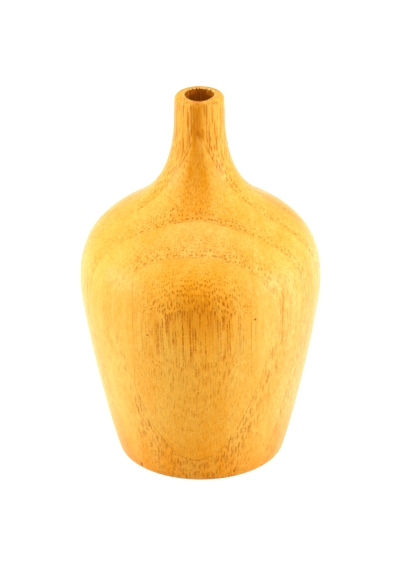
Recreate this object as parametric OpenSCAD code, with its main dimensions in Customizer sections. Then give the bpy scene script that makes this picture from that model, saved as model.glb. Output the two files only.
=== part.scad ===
/* [Body] */
// Height from the base to the rim
height = 80; // [64:1:110]
// Diameter of the body where it is widest
belly_d = 50.2; // [44:0.2:64]
// Height of the widest place, as a share of the height
belly_share = 0.487; // [0.42:0.001:0.52]
// Diameter of the flat base
base_d = 35; // [30:0.5:42]
// Lean of the side from the vertical where it leaves the base, in degrees
base_lean = 17.9; // [12:0.1:22]
// Bevel that eases the edge of the base
base_bevel = 0.5; // [0.3:0.1:1]

/* [Shoulder and neck] */
// Height where the round shoulder turns into the hollow neck, as a share of the height
turn_share = 0.677; // [0.64:0.001:0.7]
// Radius of that place, as a share of the body's largest radius
turn_radius_share = 0.664; // [0.6:0.001:0.72]
// Lean of the side from the vertical at that place, in degrees
turn_lean = 57.2; // [50:0.1:62]
// Diameter of the neck where it is thinnest
neck_d = 10.4; // [10:0.1:13]
// Height of the thinnest place, as a share of the height
neck_share = 0.952; // [0.93:0.001:0.965]
// How far the rim draws in from the thinnest place of the neck
rim_inset = 0.1; // [0:0.05:0.4]
// Rounding of the rim's outer edge
rim_round = 1.2; // [0.6:0.1:1.3]

/* [Bore for the stem] */
// Diameter of the drilled hole
bore_d = 6; // [5:0.1:6.6]
// Depth of the hole's straight wall below the rim
bore_depth = 60; // [30:1:60]
// Angle of the cone that the drill leaves at the bottom, in degrees
drill_angle = 118; // [90:1:140]
// Bevel that eases the hole's upper edge
bore_bevel = 0.3; // [0.2:0.05:0.5]

/* [Bamboo strips] */
// Width of one strip of bamboo from side to side, as a share of the body's diameter
strip_w_share = 0.478; // [0.455:0.001:0.52]
// Thickness of one strip from front to back, as a share of the body's diameter
strip_t_share = 0.1375; // [0.134:0.0005:0.145]
// Shift of the middle strips to the right of the axis, as a share of a strip's width
side_shift_share = -0.019; // [-0.03:0.001:0.03]
// Shift of the nearest layer joint behind the axis, as a share of a strip's thickness
layer_shift_share = 0.232; // [0.2:0.002:0.3]

/* [Hidden] */
$fn = 96;
LAYERS = ["front", "second", "third", "fourth", "fifth", "sixth", "seventh", "back"];
SIDES = ["left", "centre", "right"];
belly_r = belly_d / 2;
turn = [belly_r * turn_radius_share, height * turn_share];
belly = [belly_r, height * belly_share];
neck = [neck_d / 2, height * neck_share];
rim_r = neck_d / 2 - rim_inset;
foot = [base_d / 2 + base_bevel * tan(base_lean), base_bevel];

// How far each curve holds its direction at its ends, as a share of the height
foot_share = 0.1;
below_belly_share = 0.075;
above_belly_share = 0.099;
shoulder_share = 0.086;
hollow_share = 0.0725;
below_neck_share = 0.191;

// Straight steps along one curve and along the rim's quarter round
curve_steps = 14;
rim_steps = 6;

// Colours of the odd and the even layers
amber = "#d08c30";
straw = "#dfab58";

// The eight layers are counted from the front, and the joint behind layer i is at layer_joint(i)
strip_w = belly_d * strip_w_share;
strip_t = belly_d * strip_t_share;
layers = len(LAYERS);
middle_joint = 3;
beyond = 2 * belly_r;
eps = 0.01;
function layer_joint(i) = (i - middle_joint + layer_shift_share) * strip_t;
function layer_from(i) = i == 0 ? -beyond : layer_joint(i - 1);
function layer_to(i) = i == layers - 1 ? beyond : layer_joint(i);

// A layer has a left and a right strip where the middle one stays this far under the surface
thinnest = belly_d * 0.006;
left_joint = strip_w * (side_shift_share - 0.5);
right_joint = strip_w * (side_shift_share + 0.5);
function nearest_y(i) = max(0, layer_from(i), -layer_to(i));
function half_width(i) = sqrt(max(0, pow(belly_r - thinnest, 2) - pow(nearest_y(i), 2)));
function has_left(i) = half_width(i) > -left_joint;
function has_right(i) = half_width(i) > right_joint;
function has_strip(i, side) =
    side == "left" ? has_left(i) : side == "right" ? has_right(i) : true;
function strip_from(i, side) =
    side == "right" ? right_joint : side == "centre" && has_left(i) ? left_joint : -beyond;
function strip_to(i, side) =
    side == "left" ? left_joint : side == "centre" && has_right(i) ? right_joint : beyond;

function strip_name(i, side) = str(LAYERS[i], "_", side, "_strip");

// Point at share t of the curve from a to d that is pulled towards b and then c
function curve_point(a, b, c, d, t) =
    pow(1 - t, 3) * a + 3 * pow(1 - t, 2) * t * b + 3 * (1 - t) * pow(t, 2) * c + pow(t, 3) * d;
function curve(a, b, c, d) =
    [for (k = [1 : curve_steps]) curve_point(a, b, c, d, k / curve_steps)];

function side_line() =
    let (
        up_from_foot = [sin(base_lean), cos(base_lean)],
        up_at_turn = [-sin(turn_lean), cos(turn_lean)],
        up = [0, 1]
    )
    concat(
        curve(foot, foot + height * foot_share * up_from_foot,
            belly - height * below_belly_share * up, belly),
        curve(belly, belly + height * above_belly_share * up,
            turn - height * shoulder_share * up_at_turn, turn),
        curve(turn, turn + height * hollow_share * up_at_turn,
            neck - height * below_neck_share * up, neck)
    );

function rim_line() =
    [for (k = [0 : rim_steps])
        [rim_r - rim_round, height - rim_round]
            + rim_round * [cos(90 * k / rim_steps), sin(90 * k / rim_steps)]];

// The whole turned body, without its hole
module turned_body() {
    rotate_extrude()
        polygon(concat(
            [[0, 0], [base_d / 2 - base_bevel, 0], foot],
            side_line(),
            rim_line(),
            [[0, height]]
        ));
}

// The drilled hole with its eased edge and the cone at its bottom
module bore() {
    bottom = height - bore_depth;
    tip = bore_d / 2 / tan(drill_angle / 2);
    edge = bore_d / 2 + bore_bevel;
    translate([0, 0, bottom])
        cylinder(h = bore_depth + eps, d = bore_d);
    translate([0, 0, bottom - tip])
        cylinder(h = tip, r1 = 0, r2 = bore_d / 2);
    translate([0, 0, height - bore_bevel])
        cylinder(h = bore_bevel + eps, r1 = edge - bore_bevel, r2 = edge + eps);
}

// The straight bar of bamboo that one strip is turned from
module bar(i, side) {
    x = [strip_from(i, side), strip_to(i, side)];
    y = [layer_from(i), layer_to(i)];
    translate([x[0], y[0], -eps])
        cube([x[1] - x[0], y[1] - y[0], height + 2 * eps]);
}

module strip(i, side) {
    color(i % 2 == 0 ? amber : straw)
        difference() {
            intersection() {
                turned_body();
                bar(i, side);
            }
            bore();
        }
}

for (i = [0 : layers - 1], side = SIDES)
    if (has_strip(i, side))
        strip(i, side);
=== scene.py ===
import functools
import math

import bmesh
import bpy
import numpy as np
from mathutils import Matrix, Vector


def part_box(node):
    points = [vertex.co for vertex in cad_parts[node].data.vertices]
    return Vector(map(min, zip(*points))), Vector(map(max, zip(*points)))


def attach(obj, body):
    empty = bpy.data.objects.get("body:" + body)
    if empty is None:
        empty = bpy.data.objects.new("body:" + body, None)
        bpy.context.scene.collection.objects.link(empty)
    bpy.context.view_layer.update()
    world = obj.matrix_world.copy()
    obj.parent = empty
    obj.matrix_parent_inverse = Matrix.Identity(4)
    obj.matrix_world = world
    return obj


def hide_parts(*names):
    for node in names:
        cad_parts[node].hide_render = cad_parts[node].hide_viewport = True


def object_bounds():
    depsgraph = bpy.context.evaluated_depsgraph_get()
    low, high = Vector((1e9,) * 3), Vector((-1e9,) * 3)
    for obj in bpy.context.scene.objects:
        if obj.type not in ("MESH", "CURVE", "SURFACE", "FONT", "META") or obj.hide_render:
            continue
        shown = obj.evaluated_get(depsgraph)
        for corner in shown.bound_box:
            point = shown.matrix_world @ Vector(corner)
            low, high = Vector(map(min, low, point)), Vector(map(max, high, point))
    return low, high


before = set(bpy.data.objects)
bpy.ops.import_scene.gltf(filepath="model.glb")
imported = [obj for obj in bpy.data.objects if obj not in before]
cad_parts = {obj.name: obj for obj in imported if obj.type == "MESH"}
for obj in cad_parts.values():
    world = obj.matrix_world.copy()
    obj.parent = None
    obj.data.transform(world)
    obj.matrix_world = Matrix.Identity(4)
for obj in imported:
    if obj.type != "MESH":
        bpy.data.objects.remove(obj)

cad_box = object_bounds()
MM = 0.001

# Side line of the turned body, in the same terms as the part: heights as shares of the full height
HEIGHT = cad_box[1].z
BELLY_R = (cad_box[1].x - cad_box[0].x) / 2
BELLY = (BELLY_R, 0.487 * HEIGHT)
TURN = (0.664 * BELLY_R, 0.677 * HEIGHT)
TURN_LEAN = math.radians(57.2)
BASE_R = 17.5 * MM
BASE_ROUND = 0.5 * MM
BASE_LEAN = math.radians(17.9)
NECK = (5.2 * MM, 0.952 * HEIGHT)
RIM_R = 5.1 * MM
RIM_ROUND = 1.2 * MM

# How far the curves of the side line are pulled along its direction at their ends, as shares of the height
FOOT_PULL = 0.1
BELOW_BELLY_PULL = 0.075
ABOVE_BELLY_PULL = 0.099
BELOW_TURN_PULL = 0.086
ABOVE_TURN_PULL = 0.0725
NECK_PULL = 0.191

BORE_R = 3.0 * MM
BORE_DEPTH = 60 * MM
BORE_BEVEL = 0.3 * MM
DRILL_HALF_ANGLE = math.radians(59)

# What the drill left: flutes in the bore's wall, which end above its foot, chips along the edge of its
# mouth, and a dip of the mouth's front. Waves are the fewest and the most in one turn
FLUTE_DEPTH = 0.12 * MM
FLUTE_WAVES = (14, 34)
FLUTE_SEED = 21
FLUTE_END = 1 * MM
CHIP_DEPTH = 0.30 * MM
CHIP_WAVES = (12, 48)
CHIP_SEED = 22
CHIP_THRESHOLD = 0.2
CHIP_REACH = 0.9 * BORE_BEVEL
CHIP_FADE = 0.9 * MM
CHIP_LOWEST = 1.2 * MM
FRONT_DIP = 0.36 * MM
DIP_REACH = 1.2 * MM
DIP_FADE = 0.9 * MM
DIP_LOWEST = 1.6 * MM

# Joints between the strips, read from the CAD nodes' boxes
LAYERS = ["front", "second", "third", "fourth", "fifth", "sixth", "seventh", "back"]
SIDES = ["left", "centre", "right"]
LAYER_JOINTS = [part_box(f"{layer}_centre_strip")[1].y for layer in LAYERS[:-1]]
SIDE_JOINTS = [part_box("fourth_centre_strip")[0].x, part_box("fourth_centre_strip")[1].x]
STRIP_T = LAYER_JOINTS[1] - LAYER_JOINTS[0]
STRIP_W = SIDE_JOINTS[1] - SIDE_JOINTS[0]

# Small flaws in the wood: place, half width, half height and depth, all in millimetres. They are two
# pinholes, a nick and a crack at the foot, a hair crack lower down the front, and a dark corner where two
# joints meet on the left of the shoulder
FLAWS = [
    ((-9.45, -23.19, 36.88), 0.27, 0.25, 0.12),
    ((12.25, -21.84, 40.25), 0.27, 0.25, 0.12),
    ((-11.87, -13.20, 0.80), 0.32, 1.00, 0.30),
    ((7.75, -16.20, 1.50), 0.20, 0.85, 0.15),
    ((0.75, -22.90, 23.70), 0.09, 0.80, 0.05),
    ((-12.60, -12.40, 53.00), 0.34, 0.26, 0.04),
]
# How much wider than its dark spot a flaw's dent is
DENT_SPREAD = 1.4

# Fineness of the turned surface. The bore has a depth for each step between its rings
AROUND = 480
CURVE_STEPS = 400
BASE_STEP = 2 * MM
SIDE_STEP = 0.36 * MM
RIM_STEP = 0.15 * MM
BORE_STEPS = [(1.5 * MM, 0.12 * MM), (12 * MM, 0.5 * MM), (BORE_DEPTH, 3 * MM)]
TIP_STEP = 1.2 * MM
BASE_EDGE_STEPS = 4
RIM_ARC_STEPS = 8
MOUTH_ARC_STEPS = 5
SHARP_ANGLE = math.radians(32)
# Points this near to a joint move onto it, unless the surface lies too flat along the joint for that
SNAP_REACH = 0.3 * SIDE_STEP
FLATTEST = 0.15
# Less than any detail
NOTHING = 1e-7

# The photograph's camera: distance to the middle of the axis, view from the front and above. The picture's
# longer side is its height
PHOTO_H = 570
FOCAL_PX = 2508
SENSOR = 36
CAMERA_DISTANCE = 0.5233
CAMERA_AZIMUTH = math.radians(3.43)
CAMERA_ELEVATION = math.radians(26.0)
CAMERA_ROLL = math.radians(0.378)
# How far above and right of the picture's centre the middle of the axis appears
AXIS_RISE_PX = 13.2
AXIS_RIGHT_PX = 0.46

# Studio: name, azimuth and elevation in degrees, size in metres and power in watts of each lamp
LAMPS = [
    ("left_softbox", -80, 11, (0.8, 0.5), 12.2),
    ("right_softbox", 75, 11, (0.8, 0.5), 12.0),
    ("top_softbox", 0, 90, (0.9, 0.9), 10.0),
]
LAMP_DISTANCE = 1.3
WORLD_STRENGTH = 0.36
FLOOR_SIZE = 6
FLOOR_GREY = 0.7
FLOOR_GLOW = 0.8


def direction(azimuth, elevation):
    """Unit vector towards a place around the vase. Azimuth 0 is the front, and it grows to the right."""
    flat = math.cos(elevation)
    return Vector((math.sin(azimuth) * flat, -math.cos(azimuth) * flat, math.sin(elevation)))


def bezier(a, b, c, d, steps):
    """Points after a on the curve from a to d that is pulled towards b and then c."""
    t = np.linspace(0, 1, steps + 1)[1:, None]
    a, b, c, d = map(np.array, (a, b, c, d))
    return (1 - t) ** 3 * a + 3 * (1 - t) ** 2 * t * b + 3 * (1 - t) * t**2 * c + t**3 * d


def shifted(point, way, share):
    """The point moved along a unit direction by a share of the height."""
    return (point[0] + way[0] * share * HEIGHT, point[1] + way[1] * share * HEIGHT)


def arc(centre, radius, start, end, steps):
    """Points of an arc in the (radius, height) plane, angles in degrees."""
    a = np.radians(np.linspace(start, end, steps + 1))
    return np.array(centre) + radius * np.stack([np.cos(a), np.sin(a)], 1)


def straight(a, b, step):
    """Points after a on the straight line to b, about one step apart."""
    count = max(1, round(math.dist(a, b) / step))
    t = np.linspace(0, 1, count + 1)[1:, None]
    return np.array(a) + t * (np.array(b) - np.array(a))


def respaced(points, step):
    """The same line with points at even distances."""
    steps = np.linalg.norm(np.diff(points, axis=0), axis=1)
    along = np.concatenate([[0], np.cumsum(steps)])
    wanted = np.linspace(0, along[-1], max(2, round(along[-1] / step)) + 1)
    return np.stack([np.interp(wanted, along, points[:, k]) for k in (0, 1)], 1)


def side_line():
    """The outer side from the base's rounded edge to the start of the rim's rounding."""
    up = (0, 1)
    lean = (math.sin(BASE_LEAN), math.cos(BASE_LEAN))
    turn = (-math.sin(TURN_LEAN), math.cos(TURN_LEAN))
    foot = (BASE_R + BASE_ROUND * math.tan(BASE_LEAN), BASE_ROUND)
    above_foot = shifted(foot, lean, FOOT_PULL)
    below_belly = shifted(BELLY, up, -BELOW_BELLY_PULL)
    above_belly = shifted(BELLY, up, ABOVE_BELLY_PULL)
    below_turn = shifted(TURN, turn, -BELOW_TURN_PULL)
    above_turn = shifted(TURN, turn, ABOVE_TURN_PULL)
    below_neck = shifted(NECK, up, -NECK_PULL)
    line = [
        np.array([foot]),
        bezier(foot, above_foot, below_belly, BELLY, CURVE_STEPS),
        bezier(BELLY, above_belly, below_turn, TURN, CURVE_STEPS),
        bezier(TURN, above_turn, below_neck, NECK, CURVE_STEPS),
        np.array([(RIM_R, HEIGHT - RIM_ROUND)]),
    ]
    return respaced(np.concatenate(line), SIDE_STEP)


def bore_line(start):
    """The bore from its mouth down to the tip that the drill left."""
    tip = (0, HEIGHT - BORE_DEPTH - BORE_R / math.tan(DRILL_HALF_ANGLE))
    line = []
    for depth, step in BORE_STEPS:
        end = (BORE_R, HEIGHT - depth)
        line.append(straight(start, end, step))
        start = end
    return np.concatenate([*line, straight(start, tip, TIP_STEP)[:-1], np.array([tip])])


def section():
    """The half section as (radius, height) points, from the base's centre up and down into the bore."""
    outer = side_line()
    # The base's rounded edge starts at edge and is pulled towards the two places after it
    edge = (BASE_R - BASE_ROUND, 0)
    under = (BASE_R - 0.3 * BASE_ROUND, 0)
    corner = (BASE_R + 0.1 * BASE_ROUND, 0)
    rim_centre = (RIM_R - RIM_ROUND, HEIGHT - RIM_ROUND)
    rim_top = arc(rim_centre, RIM_ROUND, 0, 90, RIM_ARC_STEPS)[1:]
    mouth_centre = (BORE_R + BORE_BEVEL, HEIGHT - BORE_BEVEL)
    mouth = arc(mouth_centre, BORE_BEVEL, 90, 180, MOUTH_ARC_STEPS)
    return np.concatenate([
        straight((0, 0), edge, BASE_STEP),
        bezier(edge, under, corner, outer[0], BASE_EDGE_STEPS)[:-1],
        outer,
        rim_top,
        straight(rim_top[-1], mouth[0], RIM_STEP),
        mouth[1:],
        bore_line(mouth[-1]),
    ])


def turned_points(line):
    """The section's points turned round the axis, as rings, without its two ends on the axis."""
    a = np.linspace(0, 2 * math.pi, AROUND, endpoint=False) + math.pi / AROUND
    ring = np.stack([np.sin(a), -np.cos(a), np.zeros(AROUND)], 1)
    rings = line[:-1, 0][:, None, None] * ring[None]
    rings[:, :, 2] = line[:-1, 1][:, None]
    return rings


def waves(a, lowest, highest, seed):
    """A smooth random value for each angle, about -1 to 1, made of waves of which so many fit in a turn."""
    random = np.random.default_rng(seed)
    total = np.zeros_like(a)
    for count in range(lowest, highest + 1):
        total += random.normal() * np.cos(count * a + random.uniform(0, 2 * math.pi))
    return total / math.sqrt(highest - lowest + 1)


def widened(points, share):
    """The points moved away from the axis, each by its own share of its distance."""
    return points * np.stack([share, share, np.ones_like(share)], -1)


def worn_bore(points):
    """The points with the bore's flutes, the chips along the edge of its mouth and the dip of its front."""
    radius = np.hypot(points[..., 0], points[..., 1])
    a = np.arctan2(points[..., 0], -points[..., 1])
    down = HEIGHT - points[..., 2]
    wall = (np.abs(radius - BORE_R) < NOTHING) & (down > 0) & (down < BORE_DEPTH - FLUTE_END)
    flutes = FLUTE_DEPTH * np.clip(0.5 + 0.5 * waves(a, *FLUTE_WAVES, FLUTE_SEED), 0, 1)
    mouth = (radius < BORE_R + CHIP_REACH) & (down > 0) & (down < CHIP_LOWEST)
    chips = CHIP_DEPTH * np.clip(waves(a, *CHIP_WAVES, CHIP_SEED) - CHIP_THRESHOLD, 0, 1)
    chips *= np.clip(1 - np.abs(down - BORE_BEVEL) / CHIP_FADE, 0, 1)
    grown = np.where(wall, flutes, 0) + np.where(mouth, chips, 0)
    worn = widened(points, 1 + grown / np.maximum(radius, NOTHING))
    dip = FRONT_DIP * np.clip(np.cos(a), 0, 1) ** 2
    dip *= np.clip((BORE_R + DIP_REACH - radius) / DIP_FADE, 0, 1)
    dip *= np.clip(1 - down / DIP_LOWEST, 0, 1)
    worn[..., 2] -= np.where(down > -NOTHING, dip, 0)
    return worn


def flawed(points):
    """The points with each of the FLAWS pressed inwards."""
    for place, half_width, half_height, depth in FLAWS:
        size = np.array((half_width, half_width, half_height)) * DENT_SPREAD * MM
        off = np.linalg.norm((points - np.array(place) * MM) / size, axis=-1)
        inward = depth * MM * np.clip(1 - off**2, 0, 1)
        radius = np.maximum(np.hypot(points[..., 0], points[..., 1]), NOTHING)
        points = widened(points, 1 - inward / radius)
    return points


def surface_normals(line):
    """Outward direction of each ring as (radial, upward), from the line's own direction."""
    full = np.concatenate([[(0, 0)], line])
    along = full[2:] - full[:-2]
    along /= np.linalg.norm(along, axis=1)[:, None]
    return np.stack([along[:, 1], -along[:, 0]], 1)


def snapped(points, normals, axis, place):
    """Moves points that lie just beside a joint's plane onto it, along the surface."""
    off = points[..., axis] - place
    tilt = normals[..., axis]
    slope = 1 - tilt**2
    near = (np.abs(off) < SNAP_REACH) & (slope > FLATTEST)
    plane = np.zeros(3)
    plane[axis] = 1
    along = plane - tilt[..., None] * normals
    move = along * (off / np.maximum(slope, FLATTEST))[..., None]
    return np.where(near[..., None], points - move, points)


def turned_surface():
    """Rings of points on the body's surface, some right on the joints, and the height of the bore's tip."""
    line = section()
    points = turned_points(line)
    a = np.arctan2(points[..., 0], -points[..., 1])
    radial, upward = np.split(surface_normals(line), 2, axis=1)
    normals = np.stack([np.sin(a) * radial, -np.cos(a) * radial, np.broadcast_to(upward, a.shape)], -1)
    for place in LAYER_JOINTS:
        points = snapped(points, normals, 1, place)
    for place in SIDE_JOINTS:
        points = snapped(points, normals, 0, place)
    points = flawed(worn_bore(points))
    points[..., 2] = np.clip(points[..., 2], 0, HEIGHT)
    return points, line[-1, 1]


def turned_body():
    """A closed bmesh of the whole turned body, with its bore."""
    points, tip_height = turned_surface()
    flat = [(0, 0, 0), *map(tuple, points.reshape(-1, 3)), (0, 0, tip_height)]
    tip = len(flat) - 1
    here = 1 + np.arange(len(points) * AROUND).reshape(-1, AROUND)
    beside = np.roll(here, -1, axis=1)
    quads = np.stack([here[:-1], beside[:-1], beside[1:], here[1:]], -1).reshape(-1, 4)
    faces = [tuple(q) for q in quads.tolist()]
    faces += [(0, int(beside[0, k]), int(here[0, k])) for k in range(AROUND)]
    faces += [(tip, int(here[-1, k]), int(beside[-1, k])) for k in range(AROUND)]
    mesh = bpy.data.meshes.new("turned_body")
    mesh.from_pydata(flat, [], faces)
    solid = bmesh.new()
    solid.from_mesh(mesh)
    bpy.data.meshes.remove(mesh)
    bmesh.ops.recalc_face_normals(solid, faces=solid.faces)
    return solid


def cut(solid, axis, place):
    """Cuts a closed bmesh at a plane and returns its lower and upper part, both closed."""
    normal = Vector((0, 0, 0))
    normal[axis] = 1
    point = normal * place
    upper = solid.copy()
    for part, below in ((solid, False), (upper, True)):
        everything = part.verts[:] + part.edges[:] + part.faces[:]
        made = bmesh.ops.bisect_plane(
            part, geom=everything, dist=NOTHING, plane_co=point, plane_no=normal,
            clear_outer=not below, clear_inner=below,
        )
        rim = [e for e in made["geom_cut"] if isinstance(e, bmesh.types.BMEdge) and e.is_boundary]
        bmesh.ops.holes_fill(part, edges=rim)
    return solid, upper


def strip_bodies():
    """Every strip's closed bmesh, by the name of the CAD node that it stands for."""
    strips = {}
    rest = turned_body()
    for i, layer in enumerate(LAYERS):
        left, centre, right = (f"{layer}_{side}_strip" for side in SIDES)
        slab, rest = cut(rest, 1, LAYER_JOINTS[i]) if i < len(LAYER_JOINTS) else (rest, None)
        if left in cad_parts:
            strips[left], slab = cut(slab, 0, SIDE_JOINTS[0])
        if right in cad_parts:
            slab, strips[right] = cut(slab, 0, SIDE_JOINTS[1])
        strips[centre] = slab
    return strips


class Graph:
    """Short forms for building a node tree."""

    def __init__(self, tree):
        self.nodes = tree.nodes
        self.links = tree.links

    def put(self, socket, value):
        """Links a socket to the value where that is a socket too, and otherwise sets it."""
        if isinstance(value, bpy.types.NodeSocket):
            self.links.new(value, socket)
        else:
            socket.default_value = value

    def node(self, kind, *values, **settings):
        """A new node with its first inputs and its settings given."""
        made = self.nodes.new(kind)
        for name, value in settings.items():
            setattr(made, name, value)
        for socket, value in zip(made.inputs, values):
            self.put(socket, value)
        return made

    def math(self, operation, *values, clamp=False):
        return self.node("ShaderNodeMath", *values, operation=operation, use_clamp=clamp).outputs[0]

    def product(self, *values):
        return functools.reduce(functools.partial(self.math, "MULTIPLY"), values)

    def total(self, *values):
        return functools.reduce(functools.partial(self.math, "ADD"), values)

    def vector(self, operation, *values):
        return self.node("ShaderNodeVectorMath", *values, operation=operation).outputs[0]

    def scale(self, value, factor):
        made = self.node("ShaderNodeVectorMath", value, operation="SCALE")
        made.inputs["Scale"].default_value = factor
        return made.outputs[0]

    def length(self, value):
        return self.node("ShaderNodeVectorMath", value, operation="LENGTH").outputs["Value"]

    def point(self, x, y, z):
        return self.node("ShaderNodeCombineXYZ", x, y, z).outputs[0]

    def parts(self, value):
        return self.node("ShaderNodeSeparateXYZ", value).outputs

    def ramp(self, value, start, end, low=0.0, high=1.0):
        """Goes smoothly from low at start to high at end."""
        made = self.node("ShaderNodeMapRange", interpolation_type="SMOOTHSTEP")
        for name, given in zip(("Value", "From Min", "From Max", "To Min", "To Max"),
                               (value, start, end, low, high)):
            self.put(made.inputs[name], given)
        return made.outputs[0]

    def noise(self, vector, detail, roughness=0.5):
        """Noise with one wave per unit: its value and its colour."""
        made = self.node("ShaderNodeTexNoise", noise_dimensions="3D")
        self.put(made.inputs["Vector"], vector)
        made.inputs["Scale"].default_value = 1.0
        made.inputs["Detail"].default_value = detail
        made.inputs["Roughness"].default_value = roughness
        return made.outputs[0], made.outputs["Color"]

    def grain(self, vector, waves_per_mm, detail, roughness=0.5):
        """A noise value with a given number of waves per millimetre along each axis."""
        return self.noise(self.vector("MULTIPLY", vector, waves_per_mm), detail, roughness)[0]

    def sway(self, vector, amount):
        """A smooth random vector, up to about half the amount long along each axis."""
        colour = self.noise(vector, 1.0)[1]
        return self.scale(self.vector("SUBTRACT", colour, (0.5, 0.5, 0.5)), amount)

    def cells(self, vector, randomness):
        """Distance to the nearest of many points, one per unit square, and that point's random values."""
        made = self.node("ShaderNodeTexVoronoi", voronoi_dimensions="2D", feature="F1")
        self.put(made.inputs["Vector"], vector)
        made.inputs["Scale"].default_value = 1.0
        self.put(made.inputs["Randomness"], randomness)
        colour = self.node("ShaderNodeSeparateColor")
        self.put(colour.inputs[0], made.outputs["Color"])
        return made.outputs["Distance"], colour.outputs

    def mix(self, share, first, second):
        """The first colour with a share of the second."""
        made = self.node("ShaderNodeMix", data_type="RGBA", clamp_factor=True)
        self.put(made.inputs["Factor"], share)
        colours = [s for s in made.inputs if s.type == "RGBA"]
        self.put(colours[0], first)
        self.put(colours[1], second)
        return next(s for s in made.outputs if s.type == "RGBA")


def linear(red, green, blue):
    """A colour given as 0 to 255 the way a screen shows it, as Blender's linear values."""
    def one(c):
        c /= 255
        return c / 12.92 if c <= 0.04045 else ((c + 0.055) / 1.055) ** 2.4
    return (one(red), one(green), one(blue), 1.0)


# Plain wood goes from PALE to DEEP. The pale end is SHADED_PALE about the middle, which is painted shade,
# and
# EDGE_HIGHLIGHT at the right edge, which is a painted highlight. AMBER colours the eye and the painted
# shade down the neck, FIBRE the fine bundles and pores, and STOUT the stout bundles. SHINE is the specular
# level
PALE = linear(255, 210, 100)
SHADED_PALE = linear(255, 203, 84)
EDGE_HIGHLIGHT = linear(255, 222, 134)
DEEP = linear(255, 167, 15)
AMBER = linear(222, 135, 0)
FIBRE = linear(212, 110, 0)
STOUT = linear(194, 106, 0)
GLUE = linear(170, 88, 0)
# RIM_HIGHLIGHT paints the highlight on the rim's rounding and round the mouth
RIM_HIGHLIGHT = linear(255, 214, 118)
# BORE_WOOD_AND_SHADE is drilled wood, darkened as painted shade inside the bore
BORE_WOOD_AND_SHADE = linear(196, 112, 14)
# FLAW_SHADE_AND_MARK paints the shade inside the pinholes, the nick and the cracks, and the dark corner
# where two joints meet
FLAW_SHADE_AND_MARK = linear(150, 58, 0)
SHINE = 0.10
BUMP_STRENGTH = 0.25
BUMP_HEIGHT = 0.05 * MM

# From here to the class below, lengths are in millimetres. The eye is the dark round place on the front,
# where the turning just reaches the dense wood behind the skin, and distances from it are stretched along
# the axes. Painted shade runs up the middle of the neck, between the reflections of the side lamps
EYE = (0.8, -24.9, 42.6)
EYE_SHAPE = (1.0, 0.5, 1.0)
WIDE_EYE_SHAPE = (0.55, 0.3, 1.0)
NECK_SHADE_X = -0.2

# Fibre bundles: distances between them, how unevenly the fine ones stand and how far back the stout rows
# are moved, as a share of their distance. A fine bundle's radius grows at random and near the eye, by these
# shares of the distance, and its dark core is a share of the radius
FINE_PITCH = 0.50
STOUT_PITCH = 0.66
FINE_DISORDER = 0.65
ROW_OFFSET = 0.38
RADIUS_AT_RANDOM = 0.12
RADIUS_NEAR_EYE = 0.04
DARK_CORE = 0.5

# How fibres wander: slowly along the culm, and with small wobbles. Each strip has its own seed, three
# numbers in a range, which also gives it its own place in the noise
DRIFT = 1.2
DRIFT_WAVES = 0.045
WOBBLE = 0.4
WOBBLE_WAVES = (1.1, 1.1, 0.40)
SEED_RANGE = (1, 9)
SEED_SPREAD = 7.0
# Below the eye, this much of the way inwards is taken back, which draws the bundles out into upright lines
UPRIGHT = -0.6

# Noises: waves per millimetre along x, y and z, the detail, and the roughness where it isn't 0.5
ALONG_GRAIN = ((1.5, 1.5, 0.22), 2.0)
AREA_GRAIN = ((0.16, 0.16, 0.05), 2.0)
CUT_GRAIN = ((2.2, 2.2, 1.9), 1.0)
HAIR_GRAIN = ((4.5, 4.5, 0.5), 2.0, 0.6)
PORE_GRAIN = ((3.8, 3.8, 2.6), 1.0)
BAND_GRAIN = ((0.3, 0.3, 0.022), 2.0)
MOTTLE_GRAIN = ((0.9, 0.9, 0.6), 3.0)
GLUE_GRAIN = ((0.35, 0.35, 0.15), 2.0)
BORE_GRAIN = ((2.6, 2.6, 0.12), 3.0)

# Each of the following is a ramp: where it starts and ends, and its values there, 0 and 1 if not given.
# Ramps over the height on the vase
LINES_TOP = (44.0, 41.5)
LINES_FOOT = (29.0, 33.0)
ROW_TOP = (67.0, 60.0)
ROW_FOOT = (34.0, 50.0, 0.2, 1.0)
WHOLE_UP = (60.0, 68.0)
DEEP_FOOT = (16.0, 1.0, 0.0, 0.42)
SHOULDER_UP = (46.0, 53.0)
# Where the painted shade down the neck lies, and how it widens downwards
NECK_SHADE_UP = (55.0, 66.0, 0.15, 1.0)
NECK_SHADE_WIDENS = (73.0, 57.0, 0.0, 2.4)
# The painted shade in the middle fades upwards
MIDDLE_SHADE_UP = (48.0, 56.0, 1.0, 0.35)
# The painted highlight at the right edge fades out upwards
EDGE_HIGHLIGHT_UP = (53.0, 45.0)
# Over the distance aside from the middle of the front, for the painted highlight at the right edge over x
# itself, and for the painted shade down the neck over the distance from its own side
MARKS_ASIDE = (7.0, 13.0, 1.0, 0.72)
TONE_ASIDE = (0.0, 9.0, 1.0, 0.1)
# Painted shade: the wood deepens in the middle and pales to the sides, where the side lamps light it
DEEP_MIDDLE_SHADE = (0.0, 16.0, 0.16, -0.10)
SHOULDER_ASIDE = (9.0, 15.0)
# Painted shade: the pale end deepens to SHADED_PALE about the middle
MIDDLE_SHADE_ASIDE = (3.0, 14.0, 1.0, 0.0)
# Painted highlight towards the right edge
EDGE_HIGHLIGHT_ASIDE = (12.0, 20.0, 0.0, 0.65)
NECK_SHADE_ASIDE = (0.4, 1.4, 1.0, 0.0)
# Over the distance from the eye
EYE_BUNDLES = (4.0, 14.0, 1.0, 0.0)
EYE_DEEP = (2.5, 11.0, 0.20, 0.0)
EYE_AMBER = (1.0, 8.0, 0.55, 0.0)
# Over the depth in the strip, 0 at its skin side and 1 at its inner side
RADIUS_IN = (0.0, 1.0, 0.29, 0.25)
FINE_IN = (0.1, 0.9, 1.0, 0.6)
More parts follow.
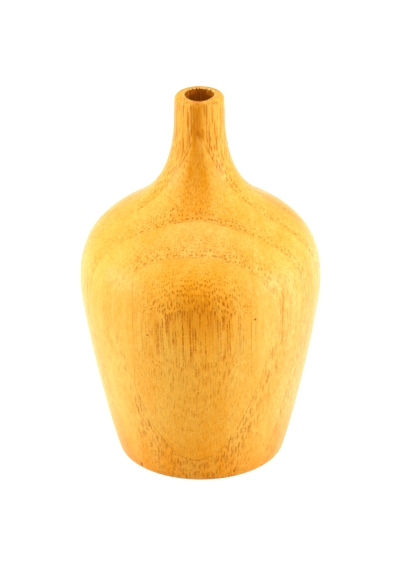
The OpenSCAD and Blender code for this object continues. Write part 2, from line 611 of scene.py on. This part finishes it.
# Over the distance behind the skin side
FIRST_ROW = (0.80, 0.62)
DEEPER_ROWS = (0.6, 5.0, 0.75, 0.2)
ROW_DISORDER = (0.7, 1.6, 0.62, 0.9)
# Over the distance from a stout bundle's middle, as a share of their distance, and from the glue lines
STOUT_OUT = (0.42, 0.24)
GLUE_OUT = (0.07, 0.015)
SIDE_GLUE_OUT = (0.08, 0.02)
# Over the distance from the axis and down from the top
# MOUTH_OUT, RIM_DOWN and MOUTH_DOWN place the painted highlight on the rim and round the mouth
MOUTH_OUT = (BORE_R / MM + 0.8, BORE_R / MM + 0.3, 0.0, 0.45)
BORE_OUT = (BORE_R / MM + 0.5, BORE_R / MM + 0.35)
RIM_DOWN = (1.4, 0.5)
MOUTH_DOWN = (0.6, 0.2)
BORE_FROM = (0.20, 0.34)
BORE_TO = (BORE_DEPTH / MM + 3, BORE_DEPTH / MM + 2)
# Over a random value or a noise
FINE_RANDOM = (0.0, 0.8, 0.55, 0.95)
STOUT_RANDOM = (0.0, 0.6, 0.35, 1.0)
ALONG_NOISE = (0.3, 0.7, 0.6, 1.0)
AREA_NOISE = (0.3, 0.7, 0.8, 1.0)
CUT_NOISE = (0.36, 0.6, 0.4, 1.1)
BAND_NOISE = (0.25, 0.75, -0.18, 0.18)
HAIR_NOISE = (0.25, 0.75, -0.22, 0.22)
MOTTLE_NOISE = (0.25, 0.75, -0.10, 0.10)
NECK_SHADE_NOISE = (0.25, 0.75, 0.6, 1.2)
PORE_NOISE = (0.40, 0.74, 0.0, 0.28)
GLUE_NOISE = (0.38, 0.60, 0.10, 0.55)
SIDE_GLUE_NOISE = (0.42, 0.62, 0.04, 0.5)
RIM_NOISE = (0.3, 0.7, 0.0, 0.12)
BORE_NOISE = (0.35, 0.65, 0.0, 0.4)
# Over the strength of a strip's marks and of its rows
STOUT_BY_MARKS = (0.0, 0.7, 0.3, 1.0)
PORES_BY_MARKS = (0.2, 1.0, 0.55, 1.0)
DEEPER_BY_ROW = (0.1, 0.6, 0.2, 1.1)
GLUE_BY_ROW = (0.4, 1.2, 0.7, 1.4)
# Over a flaw's own size, and roughness over the share of fine bundle and of bore
FLAW_OUT = (1.1, 0.7)
FINE_ROUGHNESS = (0.0, 1.0, 0.32, 0.48)
BORE_ROUGHNESS = (0.0, 1.0, 0.0, 0.35)

# Shares of the deep colour: in all wood, and what the shoulder and the painted shade down the neck add
DEEP_EVERYWHERE = 0.37
DEEP_SHOULDER = 0.11
DEEP_NECK_SHADE = 0.6
# What the eye does to the bundles: how much darker and how whole it makes them, how much of their colour is
# the stout ones', and how far mottling frays the eye's edge
EYE_STRENGTH = 0.85
EYE_WHOLE = 0.35
EYE_STOUT = 0.8
EYE_FRAYS = 4.0
# How much of the deeper rows is spared by the cuts and how much isn't, how dark the flaws are, and how the
# bundles and hairs stand in the bump
DEEPER_SPARED = 0.4
DEEPER_CUT = 0.6
FLAW_SHARE = 0.9
FINE_HEIGHT = -0.6
HAIR_HEIGHT = 0.5


class Bamboo:
    """The parts of the wood, built in one node group. Every share goes from 0 to 1."""

    def __init__(self, tree):
        self.g = g = Graph(tree)
        self.given = given = g.node("NodeGroupInput").outputs
        self.here = g.scale(g.node("ShaderNodeTexCoord").outputs["Object"], 1 / MM)
        self.x, self.y, self.z = g.parts(self.here)
        self.off_centre = g.math("ABSOLUTE", self.x)
        self.from_axis = g.length(g.point(self.x, self.y, 0.0))
        self.down = g.math("SUBTRACT", HEIGHT / MM, self.z)
        self.depth = g.math("DIVIDE", g.math("SUBTRACT", self.y, given["Front"]), STRIP_T / MM)
        self.marks = g.product(given["Marks"], g.ramp(self.off_centre, *MARKS_ASIDE))
        self.find_fibres()
        self.find_eye()
        self.hair = g.grain(self.moved, *HAIR_GRAIN)
        self.mottle = g.grain(self.moved, *MOTTLE_GRAIN)

    def find_fibres(self):
        """Where a place lies among the fibres, which lean in the front layer and wander along the culm."""
        g = self.g
        seed = self.given["Seed"]
        above_eye = g.math("SUBTRACT", self.z, EYE[2])
        self.leant = g.math("MULTIPLY_ADD", above_eye, self.given["Lean"], self.y)
        self.behind = g.math("SUBTRACT", self.leant, self.given["Front"])
        drift_place = g.vector("ADD", seed, g.point(0.0, 0.0, g.product(self.z, DRIFT_WAVES)))
        drift = g.sway(drift_place, DRIFT)
        wobble = g.sway(g.vector("MULTIPLY", self.here, WOBBLE_WAVES), WOBBLE)
        moved = g.vector("ADD", g.point(self.x, self.leant, self.z), drift)
        moved = g.vector("ADD", moved, g.scale(seed, SEED_SPREAD))
        self.moved = g.vector("ADD", moved, wobble)

    def find_eye(self):
        """Distances from the eye, the second for its wider surroundings, and its hold on the bundles."""
        g = self.g
        off = g.vector("SUBTRACT", self.here, EYE)
        self.from_eye = g.length(g.vector("MULTIPLY", off, EYE_SHAPE))
        self.from_wide_eye = g.length(g.vector("MULTIPLY", off, WIDE_EYE_SHAPE))
        self.near_eye = g.product(g.ramp(self.from_eye, *EYE_BUNDLES), self.given["Eye"])

    def visibility(self):
        """How dark the bundles are along their length and from area to area, and their cuts into dashes."""
        g = self.g
        strength = g.product(
            g.ramp(g.grain(self.moved, *ALONG_GRAIN), *ALONG_NOISE),
            g.ramp(g.grain(self.moved, *AREA_GRAIN), *AREA_NOISE),
            g.math("MULTIPLY_ADD", self.near_eye, EYE_STRENGTH, 1.0),
        )
        whole = g.math("MAXIMUM", g.product(self.near_eye, EYE_WHOLE), g.ramp(self.z, *WHOLE_UP))
        dashes = g.ramp(g.grain(self.moved, *CUT_GRAIN), *CUT_NOISE)
        return strength, g.math("MAXIMUM", whole, dashes)

    def fine_bundles(self, strength, dashes):
        """Share of fine bundles. They fill the strip, finer and fainter towards its inner side."""
        g = self.g
        across, inwards, _ = g.parts(self.moved)
        # Just below the eye the bundles lie along the surface, in straight upright lines
        upright = g.product(
            g.ramp(self.z, *LINES_TOP), g.ramp(self.z, *LINES_FOOT), self.given["Eye"], UPRIGHT)
        inwards = g.math("MULTIPLY_ADD", g.math("SUBTRACT", self.leant, EYE[1]), upright, inwards)
        place = g.scale(g.point(across, inwards, 0.0), 1 / FINE_PITCH)
        distance, random = g.cells(place, FINE_DISORDER)
        radius = g.math("MULTIPLY_ADD", random[0], RADIUS_AT_RANDOM, g.ramp(self.depth, *RADIUS_IN))
        radius = g.math("MULTIPLY_ADD", self.near_eye, RADIUS_NEAR_EYE, radius)
        return g.product(
            g.ramp(distance, radius, g.product(radius, DARK_CORE)),
            g.ramp(random[1], *FINE_RANDOM),
            g.ramp(self.depth, *FINE_IN),
            strength, self.marks, dashes,
        )

    def stout_bundles(self, strength, dashes):
        """Share of stout bundles. They stand in rows, the first one dark and right behind the skin side."""
        g = self.g
        row = self.given["Row"]
        across = g.math("DIVIDE", g.parts(self.moved)[0], STOUT_PITCH)
        rows = g.math("SUBTRACT", g.math("DIVIDE", self.behind, STOUT_PITCH), ROW_OFFSET)
        distance, random = g.cells(g.point(across, rows, 0.0), g.ramp(self.behind, *ROW_DISORDER))
        first = g.product(
            g.ramp(self.behind, *FIRST_ROW), g.ramp(self.z, *ROW_TOP), g.ramp(self.z, *ROW_FOOT), row)
        deeper = g.product(
            g.ramp(self.behind, *DEEPER_ROWS), g.ramp(row, *DEEPER_BY_ROW), strength,
            g.math("MULTIPLY_ADD", dashes, DEEPER_CUT, DEEPER_SPARED))
        return g.product(
            g.ramp(distance, *STOUT_OUT),
            g.ramp(random[1], *STOUT_RANDOM),
            g.math("MAXIMUM", first, deeper),
            g.ramp(self.marks, *STOUT_BY_MARKS),
        )

    def neck_shade(self):
        """Share of the amber painted shade along the middle of the neck, which widens down the neck."""
        g = self.g
        aside = g.math("ABSOLUTE", g.math("SUBTRACT", self.x, NECK_SHADE_X))
        aside = g.math("SUBTRACT", aside, g.ramp(self.z, *NECK_SHADE_WIDENS))
        return g.product(
            g.ramp(aside, *NECK_SHADE_ASIDE),
            g.ramp(self.z, *NECK_SHADE_UP),
            g.ramp(self.hair, *NECK_SHADE_NOISE),
            self.given["Streak"],
        )

    def plain_wood(self):
        """Colour of the wood between the bundles, with the painted shade down the neck and in the middle.
        """
        g = self.g
        neck_shade = self.neck_shade()
        tone = g.product(self.given["Tone"], g.ramp(self.off_centre, *TONE_ASIDE))
        shoulder = g.product(g.ramp(self.z, *SHOULDER_UP), g.ramp(self.off_centre, *SHOULDER_ASIDE))
        deep = g.total(
            tone,
            DEEP_EVERYWHERE,
            # Painted shade: deeper in the middle, paler to the sides
            g.ramp(self.off_centre, *DEEP_MIDDLE_SHADE),
            g.ramp(self.z, *DEEP_FOOT),
            g.product(shoulder, DEEP_SHOULDER),
            g.product(self.given["Eye"], g.ramp(self.from_wide_eye, *EYE_DEEP)),
            g.ramp(g.grain(self.moved, *BAND_GRAIN), *BAND_NOISE),
            g.ramp(self.hair, *HAIR_NOISE),
            g.ramp(self.mottle, *MOTTLE_NOISE),
        )
        # The painted shade down the neck deepens the colour as well
        deep = g.math("ADD", deep, g.product(neck_shade, DEEP_NECK_SHADE), clamp=True)
        # Painted shade: the pale end deepens about the middle
        middle_shade = g.product(g.ramp(self.off_centre, *MIDDLE_SHADE_ASIDE), self.given["Warm"], g.ramp(self.z, *MIDDLE_SHADE_UP))
        # Painted highlight: the pale end pales to EDGE_HIGHLIGHT at the right edge
        edge = g.product(g.ramp(self.x, *EDGE_HIGHLIGHT_ASIDE), g.ramp(self.z, *EDGE_HIGHLIGHT_UP))
        pale = g.mix(edge, g.mix(middle_shade, PALE, SHADED_PALE), EDGE_HIGHLIGHT)
        # Amber painted shade down the neck
        return g.mix(neck_shade, g.mix(deep, pale, DEEP), AMBER)

    def eye(self):
        """Share of amber in the eye."""
        g = self.g
        frayed = g.math("MULTIPLY_ADD", g.math("SUBTRACT", self.mottle, 0.5), EYE_FRAYS, self.from_eye)
        return g.product(g.ramp(frayed, *EYE_AMBER), self.given["Eye"])

    def pores(self):
        """Share of fine dark pores between the bundles."""
        g = self.g
        pores = g.grain(self.here, *PORE_GRAIN)
        return g.product(g.ramp(pores, *PORE_NOISE), g.ramp(self.marks, *PORES_BY_MARKS))

    def glue(self):
        """Share of the glue lines at the strip's skin side, inner side and two sides."""
        g = self.g
        from_inner = g.math("ABSOLUTE", g.math("SUBTRACT", self.depth, 1.0))
        gap = g.math("MINIMUM", g.math("ABSOLUTE", self.depth), from_inner)
        gap = g.product(gap, STRIP_T / MM)
        aside = g.math("ABSOLUTE", g.math("SUBTRACT", self.x, self.given["Middle"]))
        aside = g.math("ABSOLUTE", g.math("SUBTRACT", aside, STRIP_W / 2 / MM))
        broken = g.grain(self.here, *GLUE_GRAIN)
        layers = g.product(
            g.ramp(gap, *GLUE_OUT), g.ramp(broken, *GLUE_NOISE), g.ramp(self.given["Row"], *GLUE_BY_ROW))
        sides = g.product(g.ramp(aside, *SIDE_GLUE_OUT), g.ramp(broken, *SIDE_GLUE_NOISE))
        return g.math("MAXIMUM", layers, sides)

    def rim_highlight(self):
        """Share of the rim's paler colour, a painted highlight, most of all round the mouth."""
        g = self.g
        rim = g.product(g.ramp(self.down, *RIM_DOWN), g.ramp(self.mottle, *RIM_NOISE))
        mouth = g.product(g.ramp(self.down, *MOUTH_DOWN), g.ramp(self.from_axis, *MOUTH_OUT))
        return g.math("MAXIMUM", rim, mouth)

    def bore(self):
        """Share of the bore's wall, and its colour: bare drilled wood, darkened as painted shade inside the
        bore.
        """
        g = self.g
        share = g.product(
            g.ramp(self.from_axis, *BORE_OUT), g.ramp(self.down, *BORE_TO), g.ramp(self.down, *BORE_FROM))
        return share, g.mix(g.ramp(g.grain(self.here, *BORE_GRAIN), *BORE_NOISE), BORE_WOOD_AND_SHADE, DEEP)

    def flaws(self):
        """Share of the dark spots of the FLAWS: painted shade in the pinholes, the nick and the cracks, and
        the dark corner where two joints meet.
        """
        g = self.g
        spots = []
        for place, half_width, half_height, _ in FLAWS:
            off = g.vector("SUBTRACT", self.here, place)
            off = g.vector("MULTIPLY", off, (1 / half_width, 1 / half_width, 1 / half_height))
            spots.append(g.ramp(g.length(off), *FLAW_OUT))
        return g.product(functools.reduce(functools.partial(g.math, "MAXIMUM"), spots), FLAW_SHARE)

    def surface(self):
        """Colour, roughness and height of the wood."""
        g = self.g
        seen = self.visibility()
        fine = self.fine_bundles(*seen)
        bore, bore_colour = self.bore()
        wood = g.mix(self.eye(), self.plain_wood(), AMBER)
        wood = g.mix(self.pores(), wood, FIBRE)
        wood = g.mix(fine, wood, g.mix(g.product(self.near_eye, EYE_STOUT), FIBRE, STOUT))
        wood = g.mix(self.stout_bundles(*seen), wood, STOUT)
        wood = g.mix(self.glue(), wood, GLUE)
        # Painted highlight on the rim and round the mouth
        wood = g.mix(self.rim_highlight(), wood, RIM_HIGHLIGHT)
        # The bore's drilled wood with painted shade
        wood = g.mix(bore, wood, bore_colour)
        # Painted shade in the pinholes, nick and cracks, and the dark corner mark
        wood = g.mix(self.flaws(), wood, FLAW_SHADE_AND_MARK)
        roughness = g.total(g.ramp(fine, *FINE_ROUGHNESS), g.ramp(bore, *BORE_ROUGHNESS))
        height = g.total(g.product(fine, FINE_HEIGHT), g.product(self.hair, HAIR_HEIGHT))
        return wood, roughness, height


def bamboo_group():
    """Solid bamboo. Its inputs are what make_strips gives for each strip."""
    tree = bpy.data.node_groups.new("bamboo", "ShaderNodeTree")
    for name in ("Front", "Middle", "Lean", "Row", "Tone", "Warm", "Streak", "Eye", "Marks"):
        tree.interface.new_socket(name=name, in_out="INPUT", socket_type="NodeSocketFloat")
    tree.interface.new_socket(name="Seed", in_out="INPUT", socket_type="NodeSocketVector")
    tree.interface.new_socket(name="Colour", in_out="OUTPUT", socket_type="NodeSocketColor")
    for name in ("Roughness", "Height"):
        tree.interface.new_socket(name=name, in_out="OUTPUT", socket_type="NodeSocketFloat")
    wood = Bamboo(tree)
    wood.g.node("NodeGroupOutput", *wood.surface())
    return tree


def blank_material(name):
    """A new material without nodes, its graph and its output's surface socket."""
    material = bpy.data.materials.new(name)
    material.use_nodes = True
    g = Graph(material.node_tree)
    g.nodes.clear()
    return material, g, g.node("ShaderNodeOutputMaterial").inputs["Surface"]


def bamboo(name, group, **given):
    """One strip's material, with the group's inputs given by name."""
    material, g, surface = blank_material(name)
    wood = g.node("ShaderNodeGroup", node_tree=group)
    for socket, value in given.items():
        g.put(wood.inputs[socket], value)
    shader = g.node("ShaderNodeBsdfPrincipled")
    g.put(shader.inputs["Base Color"], wood.outputs["Colour"])
    g.put(shader.inputs["Roughness"], wood.outputs["Roughness"])
    shader.inputs["Specular IOR Level"].default_value = SHINE
    bump = g.node("ShaderNodeBump")
    bump.inputs["Strength"].default_value = BUMP_STRENGTH
    bump.inputs["Distance"].default_value = BUMP_HEIGHT
    g.put(bump.inputs["Height"], wood.outputs["Height"])
    g.put(shader.inputs["Normal"], bump.outputs[0])
    g.put(surface, shader.outputs[0])
    return material


# What differs between layers: how far the fibres lean per millimetre upwards, how strong the rows of stout
# bundles are, how deep the colour is, how much painted shade deepens the pale wood about the middle, how
# strong the amber painted shade down the neck is, and where the eye is. Between sides: how strong the rows
# are and how strong all marks are
LEANS = {"front": 0.04}
ROWS = {"front": 0.25, "second": 0.68, "third": 0.78, "fourth": 0.75}
OTHER_ROWS = 0.6
TONES = {"front": 0.03, "second": -0.08, "third": 0.03, "fourth": 0.04,
         "fifth": -0.03, "sixth": 0.03, "seventh": -0.04, "back": 0.10}
MIDDLE_SHADES = {"front": 1.0, "second": 0.5, "third": 0.3, "fourth": 0.2, "back": 0.5}
NECK_SHADES = {"third": 0.5, "fourth": 0.9, "fifth": 0.2}
EYES = {"front": 1.0}
SIDE_ROWS = {"left": 0.5, "centre": 1.0, "right": 0.9}
SIDE_MARKS = {"left": 0.65, "centre": 1.0, "right": 0.75}
FIRST_SEED = 100


def strip_material(name, layer, side, seed, group):
    """The bamboo of one strip. Front is its skin side's y and Middle its middle's x, in millimetres."""
    i = LAYERS.index(layer)
    front_y = LAYER_JOINTS[i - 1] if i else LAYER_JOINTS[0] - STRIP_T
    middle_x = sum(SIDE_JOINTS) / 2 + (SIDES.index(side) - 1) * STRIP_W
    return bamboo(
        name, group,
        Front=front_y / MM,
        Middle=middle_x / MM,
        Lean=LEANS.get(layer, 0.0),
        Row=ROWS.get(layer, OTHER_ROWS) * SIDE_ROWS[side],
        Tone=TONES[layer],
        Warm=MIDDLE_SHADES.get(layer, 0.0),
        Streak=NECK_SHADES.get(layer, 0.0),
        Eye=EYES.get(layer, 0.0),
        Marks=SIDE_MARKS[side],
        Seed=np.random.default_rng(seed).uniform(*SEED_RANGE, 3).tolist(),
    )


def make_strips():
    """Every strip as a piece of its own, in place of its CAD node."""
    group = bamboo_group()
    for number, (node, solid) in enumerate(sorted(strip_bodies().items())):
        layer, side = node.split("_")[:2]
        mesh = bpy.data.meshes.new(f"bamboo_{layer}_{side}")
        solid.normal_update()
        solid.to_mesh(mesh)
        solid.free()
        mesh.polygons.foreach_set("use_smooth", [True] * len(mesh.polygons))
        mesh.set_sharp_from_angle(angle=SHARP_ANGLE)
        piece = bpy.data.objects.new(f"bamboo_{layer}_{side}", mesh)
        bpy.context.scene.collection.objects.link(piece)
        mesh.materials.append(strip_material(piece.name, layer, side, FIRST_SEED + number, group))
        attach(piece, "root")
        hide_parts(node)


def make_floor():
    """A grey floor that looks white to the camera and in reflections, and still takes the vase's shadow."""
    bpy.ops.mesh.primitive_plane_add(size=FLOOR_SIZE)
    floor = bpy.context.object
    floor.name = "floor"
    material, g, surface = blank_material("white_floor")
    paint = g.node("ShaderNodeBsdfDiffuse")
    paint.inputs["Color"].default_value = (FLOOR_GREY, FLOOR_GREY, FLOOR_GREY, 1)
    glow = g.node("ShaderNodeEmission")
    glow.inputs["Strength"].default_value = FLOOR_GLOW
    ray = g.node("ShaderNodeLightPath").outputs
    mirrored = g.math("MAXIMUM", ray["Is Glossy Ray"], ray["Is Transmission Ray"])
    seen = g.math("MAXIMUM", ray["Is Camera Ray"], mirrored)
    both = g.node("ShaderNodeAddShader", paint.outputs[0], glow.outputs[0]).outputs[0]
    g.put(surface, g.node("ShaderNodeMixShader", seen, paint.outputs[0], both).outputs[0])
    floor.data.materials.append(material)


def make_world():
    """Even white light from all around."""
    world = bpy.data.worlds.new("studio")
    bpy.context.scene.world = world
    world.use_nodes = True
    g = Graph(world.node_tree)
    g.nodes.clear()
    fill = g.node("ShaderNodeBackground")
    fill.inputs["Color"].default_value = (1, 1, 1, 1)
    fill.inputs["Strength"].default_value = WORLD_STRENGTH
    out = g.node("ShaderNodeOutputWorld")
    g.put(out.inputs["Surface"], fill.outputs[0])


def make_lights():
    """The rectangular LAMPS, all at one distance from the middle of the vase and aimed at it."""
    for name, azimuth, elevation, size, power in LAMPS:
        data = bpy.data.lights.new(name, "AREA")
        data.shape = "RECTANGLE"
        data.size, data.size_y = size
        data.energy = power
        lamp = bpy.data.objects.new(name, data)
        bpy.context.scene.collection.objects.link(lamp)
        away = direction(math.radians(azimuth), math.radians(elevation))
        lamp.location = Vector((0, 0, HEIGHT / 2)) + away * LAMP_DISTANCE
        lamp.rotation_euler = (-away).to_track_quat("-Z", "Y").to_euler()
        lamp.visible_camera = False


def make_camera():
    """The photograph's camera."""
    data = bpy.data.cameras.new("camera")
    data.sensor_fit = "AUTO"
    data.sensor_width = SENSOR
    data.lens = FOCAL_PX * SENSOR / PHOTO_H
    data.clip_start = 0.01
    data.clip_end = 20
    camera = bpy.data.objects.new("camera", data)
    bpy.context.scene.collection.objects.link(camera)
    away = direction(CAMERA_AZIMUTH, CAMERA_ELEVATION)
    camera.location = Vector((0, 0, HEIGHT / 2)) + away * CAMERA_DISTANCE
    look = (-away).to_track_quat("-Z", "Y").to_matrix()
    tilt = Matrix.Rotation(-math.atan(AXIS_RISE_PX / FOCAL_PX), 3, "X")
    pan = Matrix.Rotation(math.atan(AXIS_RIGHT_PX / FOCAL_PX), 3, "Y")
    roll = Matrix.Rotation(-CAMERA_ROLL, 3, "Z")
    camera.rotation_euler = (look @ roll @ pan @ tilt).to_euler()
    bpy.context.scene.camera = camera


make_camera()
make_lights()
make_world()
make_floor()
make_strips()
bpy.context.scene.view_settings.view_transform = "Standard"
